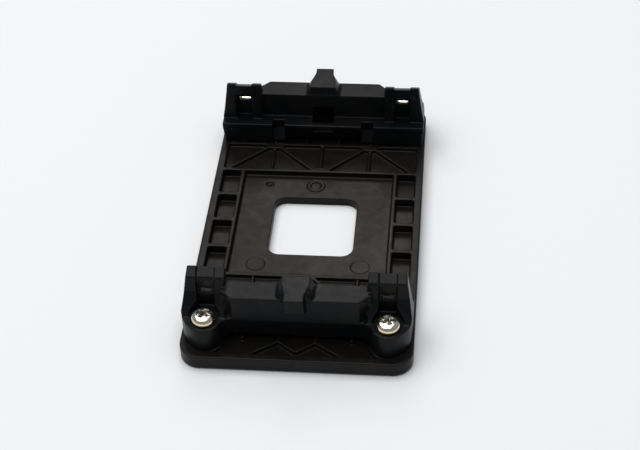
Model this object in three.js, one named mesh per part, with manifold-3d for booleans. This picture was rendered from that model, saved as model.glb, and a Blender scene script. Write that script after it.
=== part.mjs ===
// Retention kit for a desktop processor cooler, as it is shipped: a ribbed plastic backplate with
// two identical clip brackets screwed onto its ends. Four cross-recess screws pass down through
// the brackets into four flanged brass inserts held in the backplate.
//
// Millimetres, +Z up. The origin is the centre of the backplate's underside, and +Y is its length.
// The brackets are drawn once, outward from the kit's centre, and the front one is turned half round.

import * as THREE from 'three';
import { ConvexGeometry } from 'three/addons/geometries/ConvexGeometry.js';
import { mergeVertices } from 'three/addons/utils/BufferGeometryUtils.js';
import Module from 'manifold-3d';

// ---- Driving dimensions -------------------------------------------------------------------------

// Spacing of the four cooler holes in the motherboard
const HOLE_SPACING_X = 48;
const HOLE_SPACING_Y = 96;
const HOLE_X = HOLE_SPACING_X / 2;
const HOLE_Y = HOLE_SPACING_Y / 2;

// Backplate
const PLATE_WIDTH = 61.5;
const PLATE_LENGTH = 109.6;
const PLATE_HEIGHT = 4.4;
const PLATE_CORNER = 5.6;
const PLATE_BOTTOM_BEVEL = 0.5;
const RIM = 2.2;
const RIB = 1.15;
const THIN_RIB = 0.8;
const DIAGONAL_RIB = 0.95;
const PAD_HALF = 22.05;
const PAD_LEVEL = 2.6;
const OPENING_X = 24.0;
const OPENING_Y = 24.6;
const OPENING_CORNER = 3.4;
const POCKET_LEVEL = 1.8;
const POCKET_CORNER = 0.7;
const POCKETS_PER_SIDE = 4;
const TRUSS_LEVEL = 3.2;
const TRUSS_END = 34.6;
const TRUSS_APEX_X = 14.4;
const END_ZONE_CORNER = 3.6;
const BOSS_RADIUS = 5.0;

// Clip bracket, measured outward from the kit's centre
const SEAT_GAP = 0.1;
const BASE = PLATE_HEIGHT + SEAT_GAP;
const INBOARD = 35.7;
const LEDGE_LEVEL = 11.0;
const LIP_THICKNESS = 1.1;
const SCREW_SEAT = 11.6;
const BAR_LEVEL = 18.8;
const BAR_INNER = 40.6;
const WALL_FACE = 47.2;
const COVE_FACE = 45.9;
const WALL_LIP = 0.8;
const BAR_END_X = 18.7;
const LUG_LEVEL = 21.65;
const LUG_TIP = 50.5;
const TOWER_TOP = 22.5;
const TOWER_TIP = 23.0;
const TOWER_BACK = 39.35;
const WINDOW_INNER_X = 21.3;
const WINDOW_OUTER_X = 26.1;
const SCREEN_TOP = 16.0;
const SLIT_TOP = 16.95;
const SLIT_INNER_X = 22.0;
const SLIT_OUTER_X = 25.5;
const COLUMN_RADIUS = 4.4;
const COVE_RADIUS = 3.4;
const OUTER_CORNER = 9.0;
const BRACKET_HALF = 30.35;
const HALF_SPAN = PLATE_WIDTH / 2;
const TOWER_FOOT = 38.8;
const TOWER_INNER_X = 18.6;
const LUG_INNER = BAR_INNER + 0.3;
const LUG_WIDE = 3.75;
const LUG_NARROW = 2.6;
const LUG_FOOT = 5.0;
const DRIVER_RADIUS = 4.3;
const NOTCH_INNER_X = 11.6;
const NOTCH_OUTER_X = 15.2;
const LIP_HALF = 11.3;
const CORE_HALF = 3.2;
const CORE_TOP = 14.5;

// Screws and inserts
const SCREW_HEAD_RADIUS = 3.3;
const SCREW_HEAD_HEIGHT = 2.2;
const SHANK_RADIUS = 1.75;
const SHANK_TIP = 1.0;
const HEAD_GAP = 0.15;
const SCREW_HOLE_RADIUS = 2.05;
const RECESS_LENGTH = 3.7;
const RECESS_WIDTH = 0.95;
const RECESS_DEPTH = 1.3;
const INSERT_RADIUS = 2.6;
const INSERT_BORE = 1.95;
const INSERT_FLANGE_RADIUS = 3.4;
const INSERT_FLANGE = 0.9;
const INSERT_BOTTOM = 0.3;
const INSERT_TOP = 4.15;
const INSERT_GAP = 0.15;
const ROUND_SEGMENTS = 24;

// ---- Solids -------------------------------------------------------------------------------------

const wasm = await Module();
wasm.setup();

/** A closed three.js geometry as a solid that can be joined and cut. */
function solid(geometry) {
  const bare = geometry.clone();
  bare.deleteAttribute('normal');
  bare.deleteAttribute('uv');
  const merged = mergeVertices(bare, 1e-4);
  return new wasm.Manifold(new wasm.Mesh({
    numProp: 3,
    vertProperties: merged.attributes.position.array,
    triVerts: Uint32Array.from(merged.index.array),
  }));
}

/** All the solids in a list joined into one. */
function join(solids) {
  return solids.reduce((whole, piece) => whole.add(piece));
}

/** A solid with every one of a list of tools cut out of it. */
function cut(body, tools) {
  return tools.reduce((rest, tool) => rest.subtract(tool), body);
}

/** A closed outline through a list of [a, b] points. */
function outline(points) {
  return new THREE.Shape(points.map(([a, b]) => new THREE.Vector2(a, b)));
}

/** A rectangle with round corners, centred on (x, y). */
function roundedRectangle(width, length, radius, x = 0, y = 0) {
  const shape = new THREE.Shape();
  const a = width / 2 - radius;
  const b = length / 2 - radius;
  shape.absarc(x + a, y + b, radius, 0, Math.PI / 2);
  shape.absarc(x - a, y + b, radius, Math.PI / 2, Math.PI);
  shape.absarc(x - a, y - b, radius, Math.PI, 1.5 * Math.PI);
  shape.absarc(x + a, y - b, radius, 1.5 * Math.PI, 2 * Math.PI);
  return shape;
}

/** A plan outline raised from z0 to z1. */
function raise(shape, z0, z1, curveSegments = 6) {
  const geometry = new THREE.ExtrudeGeometry(shape, { depth: z1 - z0, bevelEnabled: false, curveSegments });
  return solid(geometry.translate(0, 0, z0));
}

/** A box between two values along each axis. */
function block(x0, x1, y0, y1, z0, z1) {
  const geometry = new THREE.BoxGeometry(x1 - x0, y1 - y0, z1 - z0);
  return solid(geometry.translate((x0 + x1) / 2, (y0 + y1) / 2, (z0 + z1) / 2));
}

/** An outline of [y, z] points, drawn out along X from x0 to x1. */
function sideProfile(points, x0, x1) {
  const geometry = new THREE.ExtrudeGeometry(outline(points), { depth: x1 - x0, bevelEnabled: false });
  const turn = new THREE.Matrix4().makeBasis(
    new THREE.Vector3(0, 1, 0), new THREE.Vector3(0, 0, 1), new THREE.Vector3(1, 0, 0));
  return solid(geometry.applyMatrix4(turn).translate(x0, 0, 0));
}

/** An outline of [x, z] points, drawn out along Y from y0 to y1. */
function frontProfile(points, y0, y1) {
  const geometry = new THREE.ExtrudeGeometry(outline(points), { depth: y1 - y0, bevelEnabled: false });
  const turn = new THREE.Matrix4().makeBasis(
    new THREE.Vector3(1, 0, 0), new THREE.Vector3(0, 0, 1), new THREE.Vector3(0, -1, 0));
  return solid(geometry.applyMatrix4(turn).translate(0, y1, 0));
}

/** An upright cylinder centred on (x, y). */
function post(x, y, radius, z0, z1) {
  const geometry = new THREE.CylinderGeometry(radius, radius, z1 - z0, ROUND_SEGMENTS);
  return solid(geometry.rotateX(Math.PI / 2).translate(x, y, (z0 + z1) / 2));
}

/** A straight rib between two plan points. */
function rib([x0, y0], [x1, y1], width, z0, z1) {
  const run = Math.hypot(x1 - x0, y1 - y0);
  const geometry = new THREE.BoxGeometry(run, width, z1 - z0);
  geometry.rotateZ(Math.atan2(y1 - y0, x1 - x0));
  return solid(geometry.translate((x0 + x1) / 2, (y0 + y1) / 2, (z0 + z1) / 2));
}

/** Both sides of a shape made by a function of side, which is -1 on the left and +1 on the right. */
function bothSides(make) {
  return [-1, 1].map(make);
}

// ---- Backplate ----------------------------------------------------------------------------------

const INNER_X = PLATE_WIDTH / 2 - RIM;
const INNER_Y = PLATE_LENGTH / 2 - RIM;
const ABOVE = PLATE_HEIGHT + 1;

/** The plate's outer slab, with its bottom edge bevelled. */
function plateSlab() {
  const width = PLATE_WIDTH - 2 * PLATE_BOTTOM_BEVEL;
  const length = PLATE_LENGTH - 2 * PLATE_BOTTOM_BEVEL;
  const shape = roundedRectangle(width, length, PLATE_CORNER - PLATE_BOTTOM_BEVEL);
  const geometry = new THREE.ExtrudeGeometry(shape, {
    depth: PLATE_HEIGHT - 2 * PLATE_BOTTOM_BEVEL,
    bevelEnabled: true,
    bevelThickness: PLATE_BOTTOM_BEVEL,
    bevelSize: PLATE_BOTTOM_BEVEL,
    bevelSegments: 1,
    curveSegments: 8,
  });
  const lower = solid(geometry.translate(0, 0, PLATE_BOTTOM_BEVEL));
  const outer = roundedRectangle(PLATE_WIDTH, PLATE_LENGTH, PLATE_CORNER);
  return lower.add(raise(outer, PLATE_HEIGHT / 2, PLATE_HEIGHT, 8));
}

/** The column of rounded pockets along one long side. */
function sidePockets(side) {
  const inner = PAD_HALF + RIB;
  const width = INNER_X - inner;
  const pitch = (2 * PAD_HALF + RIB) / POCKETS_PER_SIDE;
  const length = pitch - RIB;
  const centre = side * (inner + width / 2);
  const pockets = [];
  for (let i = 0; i < POCKETS_PER_SIDE; i++) {
    const y = (i - (POCKETS_PER_SIDE - 1) / 2) * pitch;
    pockets.push(raise(roundedRectangle(width, length, POCKET_CORNER, centre, y), POCKET_LEVEL, ABOVE, 3));
  }
  return join(pockets);
}

/** A flat web that fills a corner where ribs meet, from a trapezium of half widths at two distances. */
function web(centre, [foot, footHalf], [tip, tipHalf], end) {
  const points = [[-footHalf, foot], [footHalf, foot], [tipHalf, tip], [-tipHalf, tip]];
  return raise(outline(points.map(([x, y]) => [centre + x, end * y])), TRUSS_LEVEL, PLATE_HEIGHT);
}

/** The ribs of one truss panel, between the pad and a bracket. */
function trussRibs(end) {
  const foot = PAD_HALF + RIB;
  const ribs = bothSides((side) => {
    const apex = side * TRUSS_APEX_X;
    const inner = [side * (TRUSS_APEX_X - 0.9), end * TRUSS_END];
    const outer = [side * (TRUSS_APEX_X + 0.9), end * TRUSS_END];
    return join([
      rib([side * 2.0, end * foot], inner, DIAGONAL_RIB, TRUSS_LEVEL, PLATE_HEIGHT),
      rib([side * 27.2, end * foot], outer, DIAGONAL_RIB, TRUSS_LEVEL, PLATE_HEIGHT),
      rib([apex, end * foot], [apex, end * TRUSS_END], THIN_RIB, TRUSS_LEVEL, PLATE_HEIGHT - 0.5),
      web(apex, [TRUSS_END + 0.2, 3.2], [TRUSS_END - 1.7, 1.0], end),
    ]);
  });
  const centre = rib([0, end * foot], [0, end * TRUSS_END], THIN_RIB, TRUSS_LEVEL, PLATE_HEIGHT - 0.3);
  return join([...ribs, centre, web(0, [foot - 0.2, 3.4], [foot + 1.2, 1.4], end)]);
}

/** A rib under a bracket that runs along the kit at x, from the truss panel out to a distance. */
function endRib(x, end, reach, width) {
  return rib([x, end * (TRUSS_END + 0.4)], [x, end * reach], width, TRUSS_LEVEL, PLATE_HEIGHT);
}

/** What stands up in the zone under one bracket: screw bosses, a zigzag rib, and ribs along and across. */
function endRibs(end) {
  const corners = [[-12.6, 52.7], [-4.9, 47.6], [0, 51.2], [4.9, 47.6], [12.6, 52.7]];
  const zigzag = corners.map(([x, y]) => [x, end * y]);
  const parts = [rib([-INNER_X - 0.5, end * 42], [INNER_X + 0.5, end * 42], RIB, TRUSS_LEVEL, PLATE_HEIGHT)];
  for (let i = 1; i < zigzag.length; i++) {
    parts.push(rib(zigzag[i - 1], zigzag[i], DIAGONAL_RIB, TRUSS_LEVEL, PLATE_HEIGHT));
  }
  for (const side of [-1, 1]) {
    parts.push(post(side * HOLE_X, end * HOLE_Y, BOSS_RADIUS, TRUSS_LEVEL, PLATE_HEIGHT));
    parts.push(endRib(side * TRUSS_APEX_X, end, 47, THIN_RIB));
    parts.push(endRib(side * HOLE_X, end, 45, RIB));
    parts.push(endRib(side * 4.9, end, 47.6, DIAGONAL_RIB));
  }
  return join(parts);
}

/** Shallow moulding marks on the pad: a sprue ring, a dished pip and two ejector rounds. */
function padMarks() {
  const ring = cut(post(-0.6, 17.8, 2.7, PAD_LEVEL - 0.2, ABOVE), [post(-0.6, 17.8, 1.5, 0, PAD_LEVEL)]);
  const pip = cut(post(-14.3, 18.0, 1.2, PAD_LEVEL - 0.45, ABOVE), [post(-14.3, 18.0, 0.5, 0, PAD_LEVEL)]);
  return [
    ring,
    pip,
    post(-14.6, -16.6, 2.7, PAD_LEVEL - 0.12, ABOVE),
    post(14.6, -16.6, 2.7, PAD_LEVEL - 0.12, ABOVE),
  ];
}

function backplate() {
  const inner = PAD_HALF + RIB;
  const trussMiddle = (inner + TRUSS_END) / 2;
  const endStart = TRUSS_END + RIB;
  const endMiddle = (endStart + INNER_Y) / 2;
  const recesses = [
    raise(roundedRectangle(2 * PAD_HALF, 2 * PAD_HALF, 0.5), PAD_LEVEL, ABOVE, 2),
    raise(roundedRectangle(OPENING_X, OPENING_Y, OPENING_CORNER, 0.1), -1, ABOVE, 8),
    ...bothSides(sidePockets),
    ...padMarks(),
  ];
  for (const end of [-1, 1]) {
    const truss = roundedRectangle(2 * INNER_X, TRUSS_END - inner, POCKET_CORNER, 0, end * trussMiddle);
    const zone = roundedRectangle(2 * INNER_X, INNER_Y - endStart, END_ZONE_CORNER, 0, end * endMiddle);
    recesses.push(raise(truss, TRUSS_LEVEL, ABOVE, 3));
    recesses.push(raise(zone, TRUSS_LEVEL, ABOVE, 6));
  }
  const ribs = [-1, 1].flatMap((end) => [trussRibs(end), endRibs(end)]);
  const flangeSeat = INSERT_BOTTOM + INSERT_FLANGE + INSERT_GAP;
  const insertSeats = [];
  for (const x of [-HOLE_X, HOLE_X]) {
    for (const y of [-HOLE_Y, HOLE_Y]) {
      insertSeats.push(post(x, y, INSERT_RADIUS + INSERT_GAP, -1, ABOVE));
      insertSeats.push(post(x, y, INSERT_FLANGE_RADIUS + INSERT_GAP, -1, flangeSeat));
    }
  }
  return cut(join([cut(plateSlab(), recesses), ...ribs]), insertSeats);
}

// ---- Clip bracket -------------------------------------------------------------------------------

/** The bracket's outline from above: a straight inboard side, round corners and a cove before the wall. */
function bracketPlan(wall) {
  const coveY = wall + COVE_RADIUS;
  const reach = COVE_RADIUS + COLUMN_RADIUS;
  const coveX = HOLE_X - Math.sqrt(reach ** 2 - (coveY - HOLE_Y) ** 2);
  const meet = Math.atan2(coveY - HOLE_Y, coveX - HOLE_X);
  const cornerX = BRACKET_HALF - OUTER_CORNER;
  const between = OUTER_CORNER - COLUMN_RADIUS;
  const cornerY = HOLE_Y - Math.sqrt(between ** 2 - (HOLE_X - cornerX) ** 2);
  const blend = Math.atan2(HOLE_Y - cornerY, HOLE_X - cornerX);
  const shape = new THREE.Shape();
  shape.moveTo(-BRACKET_HALF, INBOARD);
  shape.lineTo(BRACKET_HALF, INBOARD);
  shape.absarc(cornerX, cornerY, OUTER_CORNER, 0, blend);
  shape.absarc(HOLE_X, HOLE_Y, COLUMN_RADIUS, blend, meet);
  shape.absarc(coveX, coveY, COVE_RADIUS, meet - Math.PI, -Math.PI / 2, true);
  shape.absarc(-coveX, coveY, COVE_RADIUS, -Math.PI / 2, -meet, true);
  shape.absarc(-HOLE_X, HOLE_Y, COLUMN_RADIUS, Math.PI - meet, Math.PI - blend);
  shape.absarc(-cornerX, cornerY, OUTER_CORNER, Math.PI - blend, Math.PI);
  return shape;
}

/** The low body: the ledge along its inboard side is stepped down, and the cove is cut under a lip. */
function bracketBase() {
  const lip = raise(bracketPlan(WALL_FACE), SCREW_SEAT - WALL_LIP, SCREW_SEAT, 7);
  const body = raise(bracketPlan(COVE_FACE), BASE, SCREW_SEAT - WALL_LIP / 2, 7).add(lip);
  const overLedge = block(-HALF_SPAN, HALF_SPAN, INBOARD - 1, TOWER_FOOT, LEDGE_LEVEL, SCREW_SEAT + 1);
  const overShelf = block(-BAR_END_X, BAR_END_X, INBOARD - 1, BAR_INNER, LEDGE_LEVEL, SCREW_SEAT + 1);
  return cut(body, [overLedge, overShelf]);
}

/** The outline that the whole bracket keeps inside when seen along the kit. */
function bracketFront() {
  const half = [
    [29.8, BASE], [BRACKET_HALF, 9.6], [BRACKET_HALF, 11.4], [29.7, 15], [29.0, 20], [28.45, TOWER_TIP + 1],
  ];
  const left = half.map(([x, z]) => [-x, z]).reverse();
  return frontProfile([...half, ...left], INBOARD - 1, LUG_TIP + 5);
}

/** The wall between the towers, whose flat top carries the two bars. */
function middleWall() {
  const half = [[BAR_END_X + 1, BAR_INNER], [BAR_END_X + 1, 44.4], [BAR_END_X, 45.1], [16.6, WALL_FACE]];
  const left = half.map(([x, y]) => [-x, y]).reverse();
  return raise(outline([...half, ...left]), SCREW_SEAT - WALL_LIP / 2, BAR_LEVEL);
}

/** Half of the lug's outline from above, wide over the bars and narrow at its outboard tip. */
const lugHalf = [[LUG_WIDE, LUG_INNER], [LUG_WIDE, 44.0], [LUG_NARROW, 48.2], [LUG_NARROW, LUG_TIP + 1]];

/** The lug in the middle, over which the cooler's spring clip hooks. */
function clipLug() {
  const profile = sideProfile([
    [LUG_INNER, SCREW_SEAT], [LUG_INNER, LUG_LEVEL], [LUG_TIP, LUG_LEVEL], [LUG_TIP, LUG_LEVEL - 0.4],
    [LUG_TIP - 0.6, LUG_LEVEL - 0.6], [LUG_TIP - 0.7, 16.6], [WALL_FACE + 0.1, 14.9], [WALL_FACE - 1, 14.5],
    [WALL_FACE - 1, SCREW_SEAT],
  ], -LUG_FOOT, LUG_FOOT);
  const left = lugHalf.map(([x, y]) => [-x, y]).reverse();
  return profile.intersect(raise(outline([...lugHalf, ...left]), SCREW_SEAT - 1, LUG_LEVEL + 1));
}

/** The sloping flanks that carry the lug down onto the bars. */
function lugFlanks() {
  const shoulder = LUG_LEVEL - 0.3;
  const half = [
    [LUG_FOOT, LUG_INNER, BAR_LEVEL], [LUG_FOOT, 45.6, BAR_LEVEL], [4.2, WALL_FACE, BAR_LEVEL],
    [LUG_WIDE, LUG_INNER, shoulder], [LUG_WIDE, 44.0, shoulder], [LUG_NARROW, 47.9, shoulder],
    [LUG_FOOT, LUG_INNER, BAR_LEVEL - 1], [LUG_FOOT, 45.6, BAR_LEVEL - 1], [4.2, WALL_FACE, BAR_LEVEL - 1],
  ];
  return solid(new ConvexGeometry(half.flatMap(([x, y, z]) => [
    new THREE.Vector3(x, y, z),
    new THREE.Vector3(-x, y, z),
  ])));
}

/** One tower: an inner post and an outer cheek, a sloping beam between them, and a screen below a slit. */
function tower(side) {
  const upright = [
    [TOWER_FOOT, BASE], [TOWER_FOOT, LEDGE_LEVEL], [TOWER_BACK, TOWER_TOP], [TOWER_BACK + 0.45, TOWER_TIP],
    [42.5, 21.4], [42.7, 20.8], [43.3, 17.0], [45.2, 13.9], [47.5, SCREW_SEAT],
    [47.5, SCREW_SEAT - WALL_LIP], [COVE_FACE, BASE],
  ];
  const beam = [
    [39.2, 19.1], [TOWER_BACK, TOWER_TOP], [42.2, 21.2], [42.35, 20.6],
    [42.0, SLIT_TOP], [41.2, SLIT_TOP + 0.3],
  ];
  const screen = [[41.0, LEDGE_LEVEL - 1], [41.1, SCREEN_TOP], [42.3, SCREEN_TOP], [42.6, LEDGE_LEVEL - 1]];
  const jamb = [[41.1, SCREEN_TOP - 1], [41.2, SLIT_TOP + 1], [42.0, SLIT_TOP + 1], [42.3, SCREEN_TOP - 1]];
  const between = (points, a, b) => sideProfile(points, ...[side * a, side * b].sort((p, q) => p - q));
  return join([
    between(upright, TOWER_INNER_X, WINDOW_INNER_X),
    between(upright, WINDOW_OUTER_X, HALF_SPAN),
    between(beam, WINDOW_INNER_X - 0.5, WINDOW_OUTER_X + 0.5),
    between(screen, WINDOW_INNER_X - 0.5, WINDOW_OUTER_X + 0.5),
    between(jamb, WINDOW_INNER_X - 0.5, SLIT_INNER_X),
    between(jamb, SLIT_OUTER_X, WINDOW_OUTER_X + 0.5),
  ]);
}

/** The recess that steps the ledge back to the screen between a tower's post and cheek. */
function towerRecess(side) {
  const ends = [side * WINDOW_INNER_X, side * WINDOW_OUTER_X].sort((a, b) => a - b);
  return block(...ends, INBOARD - 1, 41.0, LEDGE_LEVEL, SCREW_SEAT + 1);
}

/** The hole for a screw and the round space above its seat, for the head and the driver. */
function screwPassage(side) {
  return join([
    post(side * HOLE_X, HOLE_Y, DRIVER_RADIUS, SCREW_SEAT, TOWER_TIP + 1),
    post(side * HOLE_X, HOLE_Y, SCREW_HOLE_RADIUS, BASE - 1, SCREW_SEAT + 1),
  ]);
}

/** A notch in the ledge's inboard edge, with a ramp below it. */
function ledgeNotch(side) {
  const ends = [side * NOTCH_INNER_X, side * NOTCH_OUTER_X].sort((a, b) => a - b);
  return sideProfile([
    [INBOARD - 1, LEDGE_LEVEL + 1], [38.4, LEDGE_LEVEL + 1], [38.4, 8.2],
    [36.0, BASE - 1], [INBOARD - 1, BASE - 1],
  ], ...ends);
}

/** The hollow under the ledge's thin lip, and the core hole under the lug. */
function middleHollows() {
  return [
    block(-LIP_HALF, LIP_HALF, INBOARD - 1, INBOARD + 2.4, BASE - 1, LEDGE_LEVEL - LIP_THICKNESS),
    block(-CORE_HALF, CORE_HALF, 37.6, 44.6, 7, CORE_TOP),
  ];
}

function bracket() {
  const towers = join(bothSides(tower)).intersect(raise(bracketPlan(WALL_FACE), BASE, TOWER_TIP + 1, 7));
  const body = join([bracketBase(), middleWall(), clipLug(), lugFlanks(), towers]).intersect(bracketFront());
  return cut(body, [
    ...bothSides(towerRecess),
    ...bothSides(screwPassage),
    ...bothSides(ledgeNotch),
    ...middleHollows(),
  ]);
}

// ---- Screws and inserts, drawn on their own axis ------------------------------------------------

/** A turned shape from a closed profile of [radius, z] points that starts and ends on the axis or loops. */
function turned(points) {
  const profile = points.map(([r, z]) => new THREE.Vector2(r, z));
  return solid(new THREE.LatheGeometry(profile, ROUND_SEGMENTS).rotateX(Math.PI / 2));
}

/** One wing pair of the cross recess, narrowing towards its bottom. */
function recessWing(angle, top) {
  const half = RECESS_LENGTH / 2;
  const bottom = top - RECESS_DEPTH;
  const wing = new THREE.ExtrudeGeometry(outline([
    [-half - 0.3, top + 0.5], [-0.5, bottom], [0.5, bottom], [half + 0.3, top + 0.5],
  ]), { depth: RECESS_WIDTH, bevelEnabled: false });
  wing.translate(0, 0, -RECESS_WIDTH / 2).rotateX(Math.PI / 2).rotateZ(angle);
  return solid(wing);
}

function screw() {
  const seat = SCREW_SEAT + HEAD_GAP;
  const top = seat + SCREW_HEAD_HEIGHT;
  const points = [[0, SHANK_TIP], [SHANK_RADIUS - 0.5, SHANK_TIP], [SHANK_RADIUS, SHANK_TIP + 0.6]];
  points.push([SHANK_RADIUS, seat], [SCREW_HEAD_RADIUS - 0.15, seat], [SCREW_HEAD_RADIUS, seat + 0.35]);
  const crownSteps = 6;
  for (let i = 1; i < crownSteps; i++) {
    const angle = (i / crownSteps) * (Math.PI / 2);
    const rise = 0.35 + (SCREW_HEAD_HEIGHT - 0.35) * Math.sin(angle);
    points.push([SCREW_HEAD_RADIUS * Math.cos(angle) ** 0.6, seat + rise]);
  }
  points.push([0, top]);
  return cut(turned(points), [recessWing(0, top), recessWing(Math.PI / 2, top)]);
}

function insert() {
  const flangeTop = INSERT_BOTTOM + INSERT_FLANGE;
  return turned([
    [INSERT_BORE, INSERT_BOTTOM], [INSERT_FLANGE_RADIUS, INSERT_BOTTOM], [INSERT_FLANGE_RADIUS, flangeTop],
    [INSERT_RADIUS, flangeTop], [INSERT_RADIUS, INSERT_TOP], [INSERT_BORE, INSERT_TOP],
    [INSERT_BORE, INSERT_BOTTOM],
  ]);
}

// ---- The kit ------------------------------------------------------------------------------------

const platePlastic = { color: 0x2b2928, roughness: 0.62, metalness: 0 };
const bracketPlastic = { color: 0x222327, roughness: 0.5, metalness: 0 };
const platedSteel = { color: 0xd9d7d0, roughness: 0.22, metalness: 1 };
const brass = { color: 0xb8923f, roughness: 0.35, metalness: 1 };

/** A named mesh of a solid, with a material of its own. */
function piece(name, body, look) {
  const { vertProperties, triVerts } = body.getMesh();
  const geometry = new THREE.BufferGeometry();
  geometry.setAttribute('position', new THREE.BufferAttribute(vertProperties, 3));
  geometry.setIndex(new THREE.BufferAttribute(triVerts, 1));
  geometry.computeVertexNormals();
  const mesh = new THREE.Mesh(geometry, new THREE.MeshStandardMaterial(look));
  mesh.name = name;
  return mesh;
}

/** A bracket with its two screws and inserts, at the end of the kit that turn faces. */
function kitEnd(name, turn, leftAngle, rightAngle) {
  const end = new THREE.Group();
  end.add(piece(`bracket_${name}`, bracket(), bracketPlastic));
  for (const side of [-1, 1]) {
    const left = (turn === 0) === (side < 0);
    const where = `${name}_${left ? 'left' : 'right'}`;
    const fixing = new THREE.Group();
    const driven = piece(`screw_${where}`, screw(), platedSteel);
    driven.rotation.z = left ? leftAngle : rightAngle;
    fixing.add(driven, piece(`insert_${where}`, insert(), brass));
    fixing.position.set(side * HOLE_X, HOLE_Y, 0);
    end.add(fixing);
  }
  end.rotation.z = turn;
  return end;
}

const kit = new THREE.Group();
kit.add(piece('backplate', backplate(), platePlastic));
kit.add(kitEnd('rear', 0, 0.35, 1.2));
kit.add(kitEnd('front', Math.PI, 0.7, 0.2));

export default kit;
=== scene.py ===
# A desktop processor cooler's retention kit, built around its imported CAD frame.
# The backplate and the two clip brackets are the CAD solids with their moulded edges rounded. The screws
# and inserts are remade with threads, cross recesses and knurling. Metres, +Z up, in the CAD frame.

import math

import bmesh
import bpy
from mathutils import Matrix, Vector


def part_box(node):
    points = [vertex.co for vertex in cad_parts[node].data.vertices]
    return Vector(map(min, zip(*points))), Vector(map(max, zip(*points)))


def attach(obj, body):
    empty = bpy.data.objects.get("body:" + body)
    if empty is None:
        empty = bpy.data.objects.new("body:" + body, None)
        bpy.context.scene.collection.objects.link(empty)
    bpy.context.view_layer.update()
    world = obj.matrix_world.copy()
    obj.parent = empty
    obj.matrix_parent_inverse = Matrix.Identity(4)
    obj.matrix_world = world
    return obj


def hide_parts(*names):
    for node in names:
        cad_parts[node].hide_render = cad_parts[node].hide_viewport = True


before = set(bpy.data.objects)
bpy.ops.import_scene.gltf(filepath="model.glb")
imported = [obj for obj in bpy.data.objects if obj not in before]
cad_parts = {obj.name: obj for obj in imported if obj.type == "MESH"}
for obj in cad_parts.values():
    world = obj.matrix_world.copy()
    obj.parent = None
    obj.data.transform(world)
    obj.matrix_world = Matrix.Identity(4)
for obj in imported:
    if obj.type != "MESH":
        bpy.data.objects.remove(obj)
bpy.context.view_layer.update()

MM = 0.001
PLACES = ("rear_left", "rear_right", "front_left", "front_right")

# Sizes of the mouldings' skins: voxel size, smoothing passes and faces kept
PLATE_SKIN = (0.17 * MM, 3, 180_000)
BRACKET_SKIN = (0.16 * MM, 8, 110_000)

# Screws, in millimetres
SHANK_RADIUS = 1.75
HEAD_HEIGHT = 2.2
HEAD_BRIM = 0.42
CROWN_RINGS = 12
PITCH = 0.794
ROWS_PER_TURN = 8
THREAD_DEPTH = 0.36
SCREW_SEGMENTS = 48
RECESS_ARM = 1.95
RECESS_HALF_WIDTH = 0.52
RECESS_DEPTH = 1.5
RECESS_TURNS = {"rear_left": 20, "rear_right": 69, "front_left": 58, "front_right": 24}
EDGE_BREAK = 0.12

# Inserts, in millimetres
INSERT_RADIUS = 2.6
INSERT_BORE = 1.95
FLANGE_THICKNESS = 0.9
KNURLS = 20
KNURL_DEPTH = 0.13
KNURL_TWIST = 2.2
KNURL_ROWS = 10
GROOVE_DEPTH = 0.25
INSERT_SEGMENTS = 80

# The angle, in degrees, past which metal edges stay crisp
CRISP = 38


# ---- Meshes ----------------------------------------------------------------------------------

def add_object(name, mesh):
    """Links a new object that holds mesh."""
    obj = bpy.data.objects.new(name, mesh)
    bpy.context.scene.collection.objects.link(obj)
    return obj


def applied(obj):
    """Applies every modifier of obj to its mesh."""
    graph = bpy.context.evaluated_depsgraph_get()
    mesh = bpy.data.meshes.new_from_object(obj.evaluated_get(graph))
    mesh.name = obj.name
    obj.modifiers.clear()
    obj.data = mesh
    return obj


def smooth(obj, angle=None):
    """Smooth shading, which breaks at edges sharper than angle where one is given."""
    for polygon in obj.data.polygons:
        polygon.use_smooth = True
    if angle is not None:
        obj.data.set_sharp_from_angle(angle=math.radians(angle))
    return obj


def dress(obj, node, body, material):
    """Gives a finished piece its material and its place in the frame of bodies, hiding the CAD node it
    replaces.
    """
    obj.data.materials.clear()
    obj.data.materials.append(material)
    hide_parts(node)
    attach(obj, body)
    return obj


def moulding(node, name, grain, passes, faces):
    """A CAD node's solid as one fine skin with rounded edges, thinned out to about a number of faces."""
    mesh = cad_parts[node].data.copy()
    bm = bmesh.new()
    bm.from_mesh(mesh)
    bmesh.ops.remove_doubles(bm, verts=bm.verts, dist=0.001 * MM)
    bm.to_mesh(mesh)
    bm.free()
    obj = add_object(name, mesh)
    skin = obj.modifiers.new("skin", "REMESH")
    skin.mode = "VOXEL"
    skin.voxel_size = grain
    soften = obj.modifiers.new("soften", "SMOOTH")
    soften.factor = 0.5
    soften.iterations = passes
    applied(obj)
    thin = obj.modifiers.new("thin", "DECIMATE")
    thin.ratio = min(1.0, faces / (2 * len(obj.data.polygons)))
    return smooth(applied(obj))


def finished(bm, name):
    """Closes a bmesh into a mesh, with its normals outward."""
    bmesh.ops.recalc_face_normals(bm, faces=bm.faces)
    mesh = bpy.data.meshes.new(name)
    bm.to_mesh(mesh)
    bm.free()
    return mesh


def add_ring(bm, segments, radius, level):
    """A ring of vertices round the Z axis, in millimetres. radius may be a function of the angle."""
    ring = []
    for i in range(segments):
        angle = 2 * math.pi * i / segments
        r = radius(angle) if callable(radius) else radius
        ring.append(bm.verts.new((r * math.cos(angle), r * math.sin(angle), level)))
    return ring


def skin_rings(bm, rings, closed=False):
    """Faces between each ring and the next, and from the last back to the first where closed."""
    pairs = list(zip(rings, rings[1:]))
    if closed:
        pairs.append((rings[-1], rings[0]))
    for lower, upper in pairs:
        for i, vertex in enumerate(lower):
            j = (i + 1) % len(lower)
            bm.faces.new((vertex, lower[j], upper[j], upper[i]))


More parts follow.
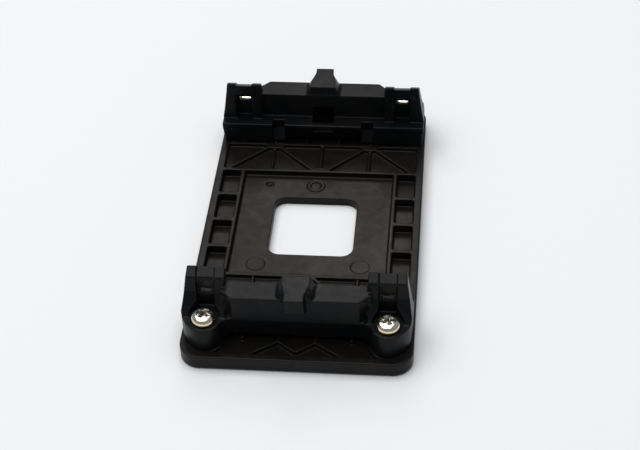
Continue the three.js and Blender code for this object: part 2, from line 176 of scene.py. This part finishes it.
def thread_wave(angle, z):
    """From 0 at a right-hand thread's root to 1 at its crest, at a height z on one side of a shank."""
    phase = (z / PITCH - angle / (2 * math.pi)) % 1.0
    slope = min(phase, 1.0 - phase) * 2
    return min(1.0, max(0.0, (slope - 0.12) / 0.72))


def thread_rings(bm, segments, root, crest, z0, z1, fade):
    """Rings up a threaded cylinder. fade(z) is how much of the thread's height is there."""
    rows = round((z1 - z0) / PITCH * ROWS_PER_TURN)
    rings = []
    for i in range(rows + 1):
        z = z0 + (z1 - z0) * i / rows

        def radius(angle, z=z):
            return root + (crest - root) * fade(z) * thread_wave(angle, z)

        rings.append(add_ring(bm, segments, radius, z))
    return rings


def recess_tool(top):
    """The tapered cross that a driver's tip fits, with its upper end above the head."""
    bm = bmesh.new()
    levels = []
    for z, arm, half in (
        (top + 0.4, RECESS_ARM + 0.12, RECESS_HALF_WIDTH + 0.03),
        (top - RECESS_DEPTH * 0.72, RECESS_ARM * 0.55, RECESS_HALF_WIDTH * 0.8),
        (top - RECESS_DEPTH, RECESS_ARM * 0.3, RECESS_HALF_WIDTH * 0.5),
    ):
        outline = []
        for quarter in range(4):
            turn = Matrix.Rotation(-math.pi / 2 * quarter, 3, "Z")
            for x, y in ((half * 1.25, half * 1.25), (arm, half), (arm, -half)):
                outline.append(bm.verts.new(turn @ Vector((x, y, z))))
        levels.append(outline)
    skin_rings(bm, levels)
    bm.faces.new(levels[0])
    bm.faces.new(levels[-1])
    return add_object("recess_tool", finished(bm, "recess_tool"))


def screw_mesh(low, seat, top, shank, head):
    """A pan-head machine screw on the Z axis, with a rolled thread and a cross recess."""
    bm = bmesh.new()

    def fade(z):
        return min(1.0, max(0.0, (z - low - 0.1) / 1.0), max(0.0, (seat - 1.0 - z) / 0.6))

    core = shank - THREAD_DEPTH
    rings = [add_ring(bm, SCREW_SEGMENTS, core - 0.35, low)]
    rings += thread_rings(bm, SCREW_SEGMENTS, core, shank, low + 0.3, seat - 0.35, fade)
    neck_and_seat = (
        (core, seat - EDGE_BREAK),
        (core + 0.14, seat),
        (head - EDGE_BREAK, seat),
        (head, seat + EDGE_BREAK),
    )
    for radius, level in neck_and_seat:
        rings.append(add_ring(bm, SCREW_SEGMENTS, radius, level))
    dome = top - 0.04 - seat - HEAD_BRIM
    for i in range(CROWN_RINGS + 1):
        turn = math.pi / 2 * i / CROWN_RINGS
        radius = head * (0.3 + 0.7 * math.cos(turn) ** 0.72)
        rings.append(add_ring(bm, SCREW_SEGMENTS, radius, seat + HEAD_BRIM + dome * math.sin(turn)))
    rings.append(add_ring(bm, SCREW_SEGMENTS, head * 0.15, top))
    skin_rings(bm, rings)
    for end in (rings[0], rings[-1]):
        bm.faces.new(end)
    blank = add_object("screw_blank", finished(bm, "screw_blank"))
    tool = recess_tool(top)
    sink = blank.modifiers.new("recess", "BOOLEAN")
    sink.operation = "DIFFERENCE"
    sink.solver = "EXACT"
    sink.object = tool
    applied(blank)
    bevel = blank.modifiers.new("edges", "BEVEL")
    bevel.width = 0.05
    bevel.segments = 2
    bevel.limit_method = "ANGLE"
    bevel.angle_limit = math.radians(48)
    applied(blank)
    shape = blank.data
    # sunk marks the cross recess, where the steel material paints shade; rim grows towards the head's
    # edge.
    sunk = shape.attributes.new("sunk", "FLOAT", "POINT")
    rim = shape.attributes.new("rim", "FLOAT", "POINT")
    for i, vertex in enumerate(shape.vertices):
        reach = vertex.co.xy.length
        inside = reach < RECESS_ARM and top - 2 < vertex.co.z < top - 0.45
        sunk.data[i].value = 1.0 if inside else 0.0
        rim.data[i].value = max(0.0, min(1.0, (reach / head - 0.6) / 0.4)) ** 2
    bpy.data.objects.remove(tool)
    bpy.data.objects.remove(blank)
    return shape


def insert_mesh(low, flange_top, top, body, flange, bore):
    """A knurled, flanged and tapped insert on the Z axis."""
    bm = bmesh.new()
    count = INSERT_SEGMENTS

    def knurl(z):
        def radius(angle):
            right = abs(math.sin(KNURLS / 2 * angle + KNURL_TWIST * z))
            left = abs(math.sin(KNURLS / 2 * angle - KNURL_TWIST * z))
            return body - KNURL_DEPTH * (1 - (right * left) ** 0.5)
        return radius

    groove = body - GROOVE_DEPTH
    rings = [add_ring(bm, count, bore + EDGE_BREAK, low)]
    flange_outline = (
        (flange - EDGE_BREAK, low),
        (flange, low + EDGE_BREAK),
        (flange, flange_top - EDGE_BREAK),
        (flange - EDGE_BREAK, flange_top),
        (groove, flange_top),
    )
    for radius, level in flange_outline:
        rings.append(add_ring(bm, count, radius, level))
    bands = ((flange_top + 0.15, flange_top + 1.25), (flange_top + 1.65, top - 0.25))
    for z0, z1 in bands:
        rings.append(add_ring(bm, count, groove, z0 - 0.05))
        for i in range(KNURL_ROWS + 1):
            z = z0 + (z1 - z0) * i / KNURL_ROWS
            rings.append(add_ring(bm, count, knurl(z), z))
        rings.append(add_ring(bm, count, groove, z1 + 0.05))
    rings.append(add_ring(bm, count, groove, top - 0.1))
    rings.append(add_ring(bm, count, groove - 0.1, top))
    rings.append(add_ring(bm, count, bore + EDGE_BREAK, top))
    tapped = thread_rings(bm, count, bore + 0.1, bore - 0.08, low + 0.15, top - 0.15, lambda z: 1.0)
    rings += reversed(tapped)
    skin_rings(bm, rings, closed=True)
    return finished(bm, "insert")


# ---- Materials -------------------------------------------------------------------------------

class Surface:
    """A Principled material under construction, with helpers that add procedural layers to it."""

    def __init__(self, name, roughness, metallic, **sockets):
        self.material = bpy.data.materials.new(name)
        self.material.use_nodes = True
        self.tree = self.material.node_tree
        self.shader = self.tree.nodes["Principled BSDF"]
        self.shader.inputs["Roughness"].default_value = roughness
        self.shader.inputs["Metallic"].default_value = metallic
        for socket, value in sockets.items():
            self.shader.inputs[socket.replace("_", " ")].default_value = value
        self.place = self.tree.nodes.new("ShaderNodeTexCoord").outputs["Object"]

    def noise(self, size, detail=2.0, rough=0.5, squeeze=(1, 1, 1)):
        """Noise whose lumps are about size metres across, from 0 to 1."""
        stretch = self.tree.nodes.new("ShaderNodeMapping")
        stretch.inputs["Scale"].default_value = squeeze
        texture = self.tree.nodes.new("ShaderNodeTexNoise")
        texture.inputs["Scale"].default_value = 1 / size
        texture.inputs["Detail"].default_value = detail
        texture.inputs["Roughness"].default_value = rough
        self.tree.links.new(self.place, stretch.inputs["Vector"])
        self.tree.links.new(stretch.outputs["Vector"], texture.inputs["Vector"])
        return texture.outputs["Fac"]

    def edges(self, low, high):
        """From 0 on flat ground to 1 on edges that stand out."""
        pointiness = self.tree.nodes.new("ShaderNodeNewGeometry").outputs["Pointiness"]
        return self.spread(pointiness, low, high, 0, 1)

    def stored(self, name):
        """A number kept on the mesh's vertices."""
        node = self.tree.nodes.new("ShaderNodeAttribute")
        node.attribute_name = name
        return node.outputs["Fac"]

    def spread(self, value, low, high, to_low, to_high):
        """Maps value from one range to another, held at both ends."""
        node = self.tree.nodes.new("ShaderNodeMapRange")
        settings = {"From Min": low, "From Max": high, "To Min": to_low, "To Max": to_high}
        for socket, number in settings.items():
            node.inputs[socket].default_value = number
        self.tree.links.new(value, node.inputs["Value"])
        return node.outputs["Result"]

    def combine(self, operation, a, b):
        """A Math node of two values, either of which may be a plain number."""
        node = self.tree.nodes.new("ShaderNodeMath")
        node.operation = operation
        for socket, value in zip(node.inputs, (a, b)):
            if isinstance(value, (int, float)):
                socket.default_value = value
            else:
                self.tree.links.new(value, socket)
        return node.outputs["Value"]

    def tint(self, mask, under, over):
        """A colour that goes from under to over with mask."""
        node = self.tree.nodes.new("ShaderNodeMix")
        node.data_type = "RGBA"
        self.tree.links.new(mask, node.inputs["Factor"])
        for socket, colour in ((6, under), (7, over)):
            if isinstance(colour, tuple):
                node.inputs[socket].default_value = (*colour, 1)
            else:
                self.tree.links.new(colour, node.inputs[socket])
        return node.outputs[2]

    def paint(self, colour):
        self.tree.links.new(colour, self.shader.inputs["Base Color"])

    def gloss(self, roughness):
        self.tree.links.new(roughness, self.shader.inputs["Roughness"])

    def relief(self, *layers):
        """Bump layers of (height from 0 to 1, depth in metres), one over the other."""
        normal = None
        for height, depth in layers:
            bump = self.tree.nodes.new("ShaderNodeBump")
            bump.inputs["Strength"].default_value = 1.0
            bump.inputs["Distance"].default_value = depth
            self.tree.links.new(height, bump.inputs["Height"])
            if normal is not None:
                self.tree.links.new(normal, bump.inputs["Normal"])
            normal = bump.outputs["Normal"]
        self.tree.links.new(normal, self.shader.inputs["Normal"])


def moulded_plastic(name, dark, light, smudge, roughness, gloss_level, texture_depth):
    """Black moulded plastic: a fine texture, flow mottling, smudges, small specks, and lighter worn
    edges, partly wear and partly a painted highlight.
    """
    look = Surface(name, roughness, 0.0, Specular_IOR_Level=gloss_level)
    mottle = look.spread(look.noise(7 * MM, 3, 0.6), 0.35, 0.68, 0, 1)
    base = look.tint(mottle, dark, light)
    smear = look.spread(look.noise(15 * MM, 4, 0.62, (1.0, 0.55, 1.0)), 0.52, 0.74, 0, 0.8)
    base = look.tint(smear, base, smudge)
    speck = look.spread(look.noise(0.9 * MM, 1, 0.4), 0.73, 0.78, 0, 0.35)
    base = look.tint(speck, base, smudge)
    patchy = look.spread(look.noise(1.3 * MM, 3, 0.65), 0.36, 0.66, 0, 0.55)
    # Convex edges are painted lighter: partly edge wear, partly a painted highlight along the edges.
    worn_and_highlit_edges = look.combine("MULTIPLY", look.edges(0.52, 0.6), patchy)
    look.paint(look.tint(worn_and_highlit_edges, base, (0.045, 0.043, 0.042)))
    grain = look.noise(0.11 * MM, 2, 0.6)
    uneven = look.spread(look.noise(2.4 * MM, 3, 0.6), 0.3, 0.7, -0.045, 0.045)
    handled = look.combine("MULTIPLY", look.combine("MAXIMUM", smear, worn_and_highlit_edges), -0.07)
    rough = look.combine("ADD", look.combine("ADD", uneven, handled), roughness)
    look.gloss(look.combine("ADD", rough, look.spread(grain, 0.3, 0.7, -0.03, 0.03)))
    look.relief((look.noise(1.6 * MM, 1, 0.5), 0.012 * MM), (grain, texture_depth))
    return look.material


def plated_steel():
    """Bright nickel on a rolled steel screw, with fine turning marks, a few dull spots and painted shade
    in the cross recess.
    """
    look = Surface("plated_steel", 0.2, 1.0)
    tarnish = look.spread(look.noise(1.1 * MM, 3, 0.6), 0.42, 0.72, 0, 1)
    bright = look.tint(tarnish, (0.9, 0.88, 0.82), (0.82, 0.72, 0.52))
    golden = look.combine("MULTIPLY", look.stored("rim"), 0.7)
    bright = look.tint(golden, bright, (0.8, 0.66, 0.4))
    # Painted shade: the cross recess is darkened almost to black, standing in for the shade inside it.
    recess_painted_shade = look.combine("MULTIPLY", look.stored("sunk"), look.spread(tarnish, 0, 1, 0.8, 0.95))
    look.paint(look.tint(recess_painted_shade, bright, (0.06, 0.05, 0.04)))
    marks = look.noise(0.16 * MM, 2, 0.5, (0.35, 0.35, 3.0))
    rough = look.spread(tarnish, 0, 1, 0.15, 0.27)
    look.gloss(look.combine("ADD", rough, look.spread(marks, 0.3, 0.7, -0.03, 0.03)))
    look.relief((marks, 0.004 * MM), (look.noise(0.5 * MM, 2, 0.5), 0.008 * MM))
    return look.material


def machined_brass():
    """Turned brass with light oxidation."""
    look = Surface("machined_brass", 0.3, 1.0)
    oxide = look.spread(look.noise(1.4 * MM, 3, 0.6), 0.4, 0.7, 0, 1)
    look.paint(look.tint(oxide, (0.72, 0.53, 0.23), (0.5, 0.33, 0.13)))
    marks = look.noise(0.12 * MM, 2, 0.5, (1.0, 1.0, 4.0))
    rough = look.spread(oxide, 0, 1, 0.24, 0.42)
    look.gloss(look.combine("ADD", rough, look.spread(marks, 0.3, 0.7, -0.04, 0.04)))
    look.relief((marks, 0.005 * MM))
    return look.material


plate_look = moulded_plastic(
    "plate_plastic", (0.0085, 0.0074, 0.0068), (0.0125, 0.0106, 0.0094), (0.021, 0.017, 0.015),
    roughness=0.35, gloss_level=0.25, texture_depth=0.004 * MM)
bracket_look = moulded_plastic(
    "bracket_plastic", (0.0056, 0.0062, 0.0072), (0.0082, 0.0088, 0.01), (0.015, 0.014, 0.014),
    roughness=0.33, gloss_level=0.2, texture_depth=0.003 * MM)
screw_look = plated_steel()
brass_look = machined_brass()

dress(moulding("backplate", "backplate_moulding", *PLATE_SKIN),
      "backplate", "mount", plate_look)
for end in ("rear", "front"):
    dress(moulding(f"bracket_{end}", f"bracket_{end}_moulding", *BRACKET_SKIN),
          f"bracket_{end}", "mount", bracket_look)

screw_low, screw_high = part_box("screw_front_left")
head_radius = (screw_high.x - screw_low.x) / 2 / MM
insert_low, insert_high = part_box("insert_front_left")
insert_flange = (insert_high.x - insert_low.x) / 2 / MM
screw_shape = screw_mesh(
    low=screw_low.z / MM, seat=screw_high.z / MM - HEAD_HEIGHT, top=screw_high.z / MM,
    shank=SHANK_RADIUS, head=head_radius)
insert_shape = insert_mesh(
    low=insert_low.z / MM, flange_top=insert_low.z / MM + FLANGE_THICKNESS, top=insert_high.z / MM,
    body=INSERT_RADIUS, flange=insert_flange, bore=INSERT_BORE)

for place in PLACES:
    low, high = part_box(f"screw_{place}")
    axis = Vector(((low.x + high.x) / 2, (low.y + high.y) / 2, 0))
    place_at = Matrix.Translation(axis) @ Matrix.Scale(MM, 4)
    screw = add_object(f"{place}_screw", screw_shape.copy())
    turned = Matrix.Rotation(math.radians(RECESS_TURNS[place]), 4, "Z")
    screw.data.transform(place_at @ turned)
    dress(smooth(screw, CRISP), f"screw_{place}", f"screw_{place}", screw_look)
    insert = add_object(f"{place}_insert", insert_shape.copy())
    insert.data.transform(place_at)
    dress(smooth(insert, CRISP), f"insert_{place}", "mount", brass_look)

# ---- Camera, floor and light -----------------------------------------------------------------

CAMERA_PLACE = Vector((38.033, -319.655, 287.386)) * MM
CAMERA_AIM = Vector((1.69, 3.44, 0.0)) * MM
CAMERA_ROLL = math.radians(-2.34)
camera_data = bpy.data.cameras.new("camera")
camera_data.sensor_width = 36.0
camera_data.lens = 84.38
camera = bpy.data.objects.new("camera", camera_data)
bpy.context.scene.collection.objects.link(camera)
facing = (CAMERA_AIM - CAMERA_PLACE).to_track_quat("-Z", "Y").to_matrix().to_4x4()
camera.matrix_world = Matrix.Translation(CAMERA_PLACE) @ facing @ Matrix.Rotation(CAMERA_ROLL, 4, "Z")
bpy.context.scene.camera = camera

FLOOR_HALF = 2.5
FLOOR_LEVEL = -0.02 * MM
corners = ((-1, -1), (1, -1), (1, 1), (-1, 1))
floor_mesh = bpy.data.meshes.new("floor")
floor_corners = [(x * FLOOR_HALF, y * FLOOR_HALF, FLOOR_LEVEL) for x, y in corners]
floor_mesh.from_pydata(floor_corners, [], [(0, 1, 2, 3)])
pale = Surface("pale_floor", 0.75, 0.0, Specular_IOR_Level=0.2)
pale.shader.inputs["Base Color"].default_value = (0.86, 0.86, 0.87, 1)
floor_mesh.materials.append(pale.material)
add_object("floor", floor_mesh)

world = bpy.data.worlds.new("world")
world.use_nodes = True
sky = world.node_tree.nodes["Background"]
sky.inputs["Color"].default_value = (0.84, 0.92, 1.0, 1)
sky.inputs["Strength"].default_value = 0.33
bpy.context.scene.world = world


def soft_box(name, place, size, power, colour=(1, 1, 1)):
    data = bpy.data.lights.new(name, "AREA")
    data.size = size
    data.energy = power
    data.color = colour
    light = bpy.data.objects.new(name, data)
    bpy.context.scene.collection.objects.link(light)
    light.location = place
    light.rotation_euler = (-Vector(place)).to_track_quat("-Z", "Y").to_euler()


soft_box("back_light", (-0.12, 1.04, 1.03), 0.45, 2.4, (1.0, 0.95, 0.91))
soft_box("top_light", (-0.25, 0.0, 1.5), 1.7, 23.0, (1.0, 0.985, 0.96))
bpy.context.scene.view_settings.view_transform = "Standard"
bpy.context.scene.view_settings.gamma = 0.85
